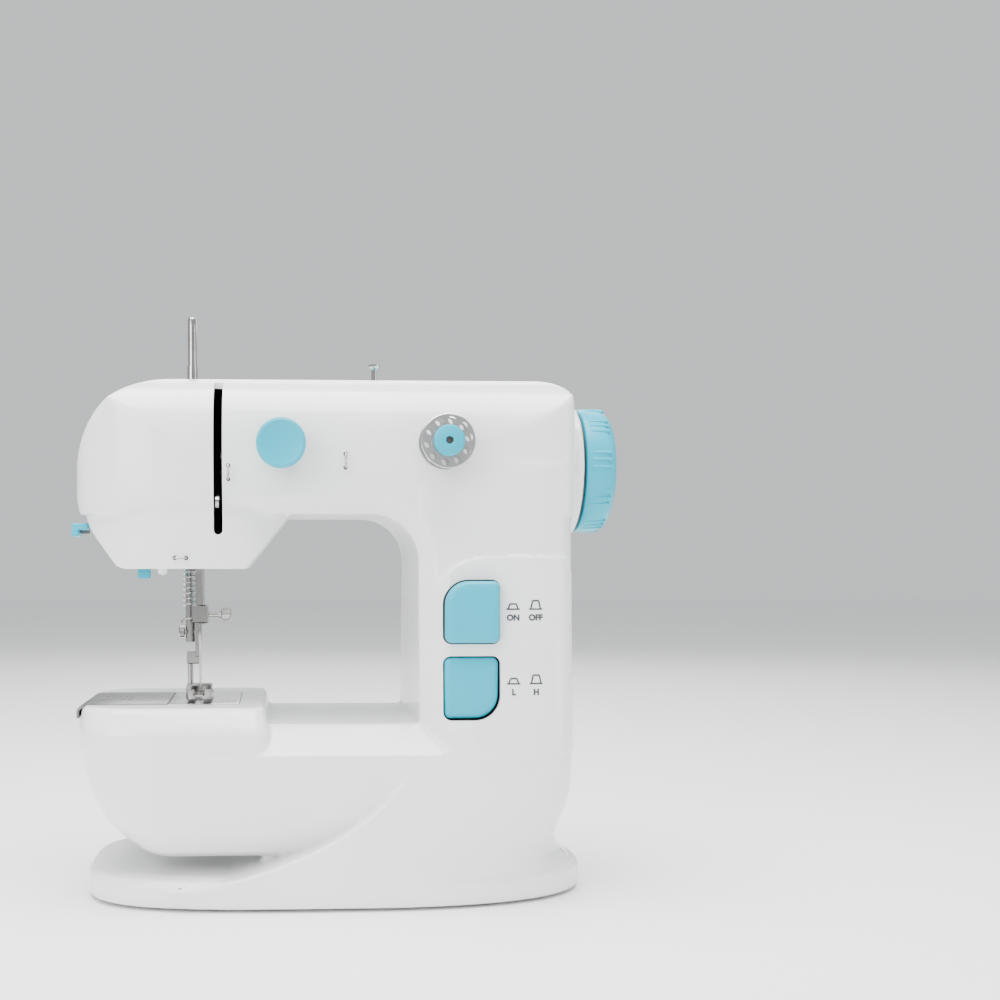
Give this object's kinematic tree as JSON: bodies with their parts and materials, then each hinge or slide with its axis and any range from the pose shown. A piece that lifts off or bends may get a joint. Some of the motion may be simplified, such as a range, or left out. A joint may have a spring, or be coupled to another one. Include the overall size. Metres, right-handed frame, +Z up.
{
  "type": "sewing machine",
  "caption": "Small two-speed free-arm sewing machine with a C-shaped white housing, teal handwheel, tension knob, push buttons and a bobbin winder.",
  "frame": {"origin": "on the ground under the middle of the bounding box", "axes": "+Z up, the user sits at -Y, the handwheel is at +X"},
  "size_m": [0.2166, 0.1104, 0.234],
  "materials": {
    "white": "gloss white moulded ABS",
    "teal": "gloss teal moulded ABS",
    "black": "black moulded plastic",
    "steel": "bright nickel-plated steel",
    "plate": "brushed stamped steel",
    "rubber": "grey rubber",
    "nylon": "natural nylon",
    "brass": "turned brass",
    "board": "green circuit board",
    "lens": "clear lamp lens"
  },
  "bodies": {
    "housing": {"front_shell": "white", "rear_shell": "white", "base_plate": "white", "case_screw_1": "steel", "case_screw_2": "steel", "case_screw_3": "steel", "case_screw_4": "steel", "rubber_foot_1": "rubber", "rubber_foot_2": "rubber", "rubber_foot_3": "rubber", "rubber_foot_4": "rubber", "top_guide_collar": "teal", "top_guide_post": "steel", "tension_post": "steel", "tension_discs": "steel", "tension_spring": "steel", "thread_guide_1": "steel", "thread_guide_2": "steel", "thread_guide_3": "steel", "power_switch": "black", "speed_switch": "black", "circuit_board": "board", "jack_panel": "black", "left_bush": "brass", "right_bush": "brass", "motor": "steel", "drive_belt": "rubber", "timing_belt": "rubber", "presser_spring": "steel", "needle_plate": "plate", "lower_bobbin": "steel", "thread_cutter": "teal", "lamp": "lens"},
    "needle_bar": {"needle_bar": "steel", "needle": "steel"},
    "needle_clamp_screw": {"needle_clamp_screw": "steel"},
    "presser_bar": {"presser_bar": "steel", "presser_foot": "steel"},
    "presser_foot_screw": {"presser_foot_screw": "steel"},
    "presser_lifter": {"presser_lifter": "steel"},
    "main_shaft": {"main_shaft": "steel", "handwheel": "teal", "main_pulley": "nylon", "crank_disc": "steel"},
    "connecting_rod": {"connecting_rod": "steel"},
    "motor_pulley": {"motor_pulley": "brass"},
    "lower_shaft": {"lower_shaft": "steel", "hook": "steel"},
    "winder": {"winder_spindle": "steel", "bobbin": "steel", "winder_cap": "teal"},
    "take_up_lever": {"take_up_lever": "steel"},
    "tension_knob": {"tension_knob": "teal"},
    "spool_pin": {"spool_pin": "steel"},
    "power_button": {"power_button": "teal"},
    "speed_button": {"speed_button": "teal"},
    "light_switch": {"light_switch": "teal"},
    "slide_plate": {"slide_plate": "plate"},
    "feed_dog": {"feed_dog": "steel"},
    "battery_door": {"battery_door": "white"}
  },
  "joints": [
    {"name": "handwheel_spin", "type": "hinge", "parent": "housing", "child": "main_shaft", "pos_m": [0, 0.0022, 0.1703], "axis": [1, 0, 0], "continuous": true},
    {"name": "connecting_rod_pivot", "type": "hinge", "parent": "main_shaft", "child": "connecting_rod", "pos_m": [-0.0422, 0.0022, 0.1823], "axis": [1, 0, 0], "continuous": true},
    {"name": "motor_spin", "type": "hinge", "parent": "housing", "child": "motor_pulley", "pos_m": [0.0769, 0.0242, 0.106], "axis": [1, 0, 0], "continuous": true},
    {"name": "lower_shaft_spin", "type": "hinge", "parent": "housing", "child": "lower_shaft", "pos_m": [0, -0.0078, 0.055], "axis": [1, 0, 0], "continuous": true},
    {"name": "winder_spin", "type": "hinge", "parent": "housing", "child": "winder", "pos_m": [0.0362, -0.0378, 0.1777], "axis": [0, 1, 0], "continuous": true},
    {"name": "needle_bar_slide", "type": "slide", "parent": "housing", "child": "needle_bar", "axis": [0, 0, 1], "range_m": [-0.01, 0.014]},
    {"name": "needle_clamp_turn", "type": "hinge", "parent": "needle_bar", "child": "needle_clamp_screw", "pos_m": [-0.0588, -0.0078, 0.1115], "axis": [1, 0, 0], "range_deg": [-180, 0]},
    {"name": "presser_lift", "type": "hinge", "parent": "housing", "child": "presser_lifter", "pos_m": [-0.0724, 0.0022, 0.141], "axis": [0, 1, 0], "range_deg": [0, 90]},
    {"name": "presser_bar_slide", "type": "slide", "parent": "housing", "child": "presser_bar", "axis": [0, 0, 1], "range_m": [0, 0.006], "deforming": ["presser_spring"]},
    {"name": "presser_foot_screw_turn", "type": "hinge", "parent": "presser_bar", "child": "presser_foot_screw", "pos_m": [-0.0634, 0.0022, 0.104], "axis": [-1, 0, 0], "range_deg": [-180, 0]},
    {"name": "take_up_swing", "type": "hinge", "parent": "housing", "child": "take_up_lever", "pos_m": [-0.0502, 0.0122, 0.1763], "axis": [1, 0, 0], "range_deg": [-44, 0]},
    {"name": "tension_turn", "type": "hinge", "parent": "housing", "child": "tension_knob", "pos_m": [-0.0262, -0.0378, 0.1768], "axis": [0, 1, 0], "range_deg": [-360, 360]},
    {"name": "spool_pin_slide", "type": "slide", "parent": "housing", "child": "spool_pin", "axis": [0, 0, 1], "range_m": [-0.012, 0.01]},
    {"name": "power_press", "type": "slide", "parent": "housing", "child": "power_button", "axis": [0, 1, 0], "range_m": [0, 0.0035], "stiffness_N_per_m": 300},
    {"name": "speed_press", "type": "slide", "parent": "housing", "child": "speed_button", "axis": [0, 1, 0], "range_m": [-0.0038, 0]},
    {"name": "light_switch_slide", "type": "slide", "parent": "housing", "child": "light_switch", "axis": [1, 0, 0], "range_m": [0, 0.002]},
    {"name": "slide_plate_slide", "type": "slide", "parent": "housing", "child": "slide_plate", "axis": [-1, 0, 0], "range_m": [0, 0.03]},
    {"name": "feed_dog_travel", "type": "slide", "parent": "housing", "child": "feed_dog", "axis": [0, 1, 0], "range_m": [-0.0015, 0.0015]},
    {"name": "battery_door_release", "type": "slide", "parent": "housing", "child": "battery_door", "axis": [0, 0, -1], "range_m": [0, 0.0006]}
  ],
  "couplings": [
    {"joint": "connecting_rod_pivot", "follows": "handwheel_spin", "ratio": -1},
    {"joint": "motor_spin", "follows": "handwheel_spin", "ratio": 5.25},
    {"joint": "lower_shaft_spin", "follows": "handwheel_spin", "ratio": 2},
    {"joint": "winder_spin", "follows": "handwheel_spin", "ratio": 2.4},
    {"joint": "presser_lift", "follows": "presser_bar_slide", "rad_per_m": 261.79}
  ]
}
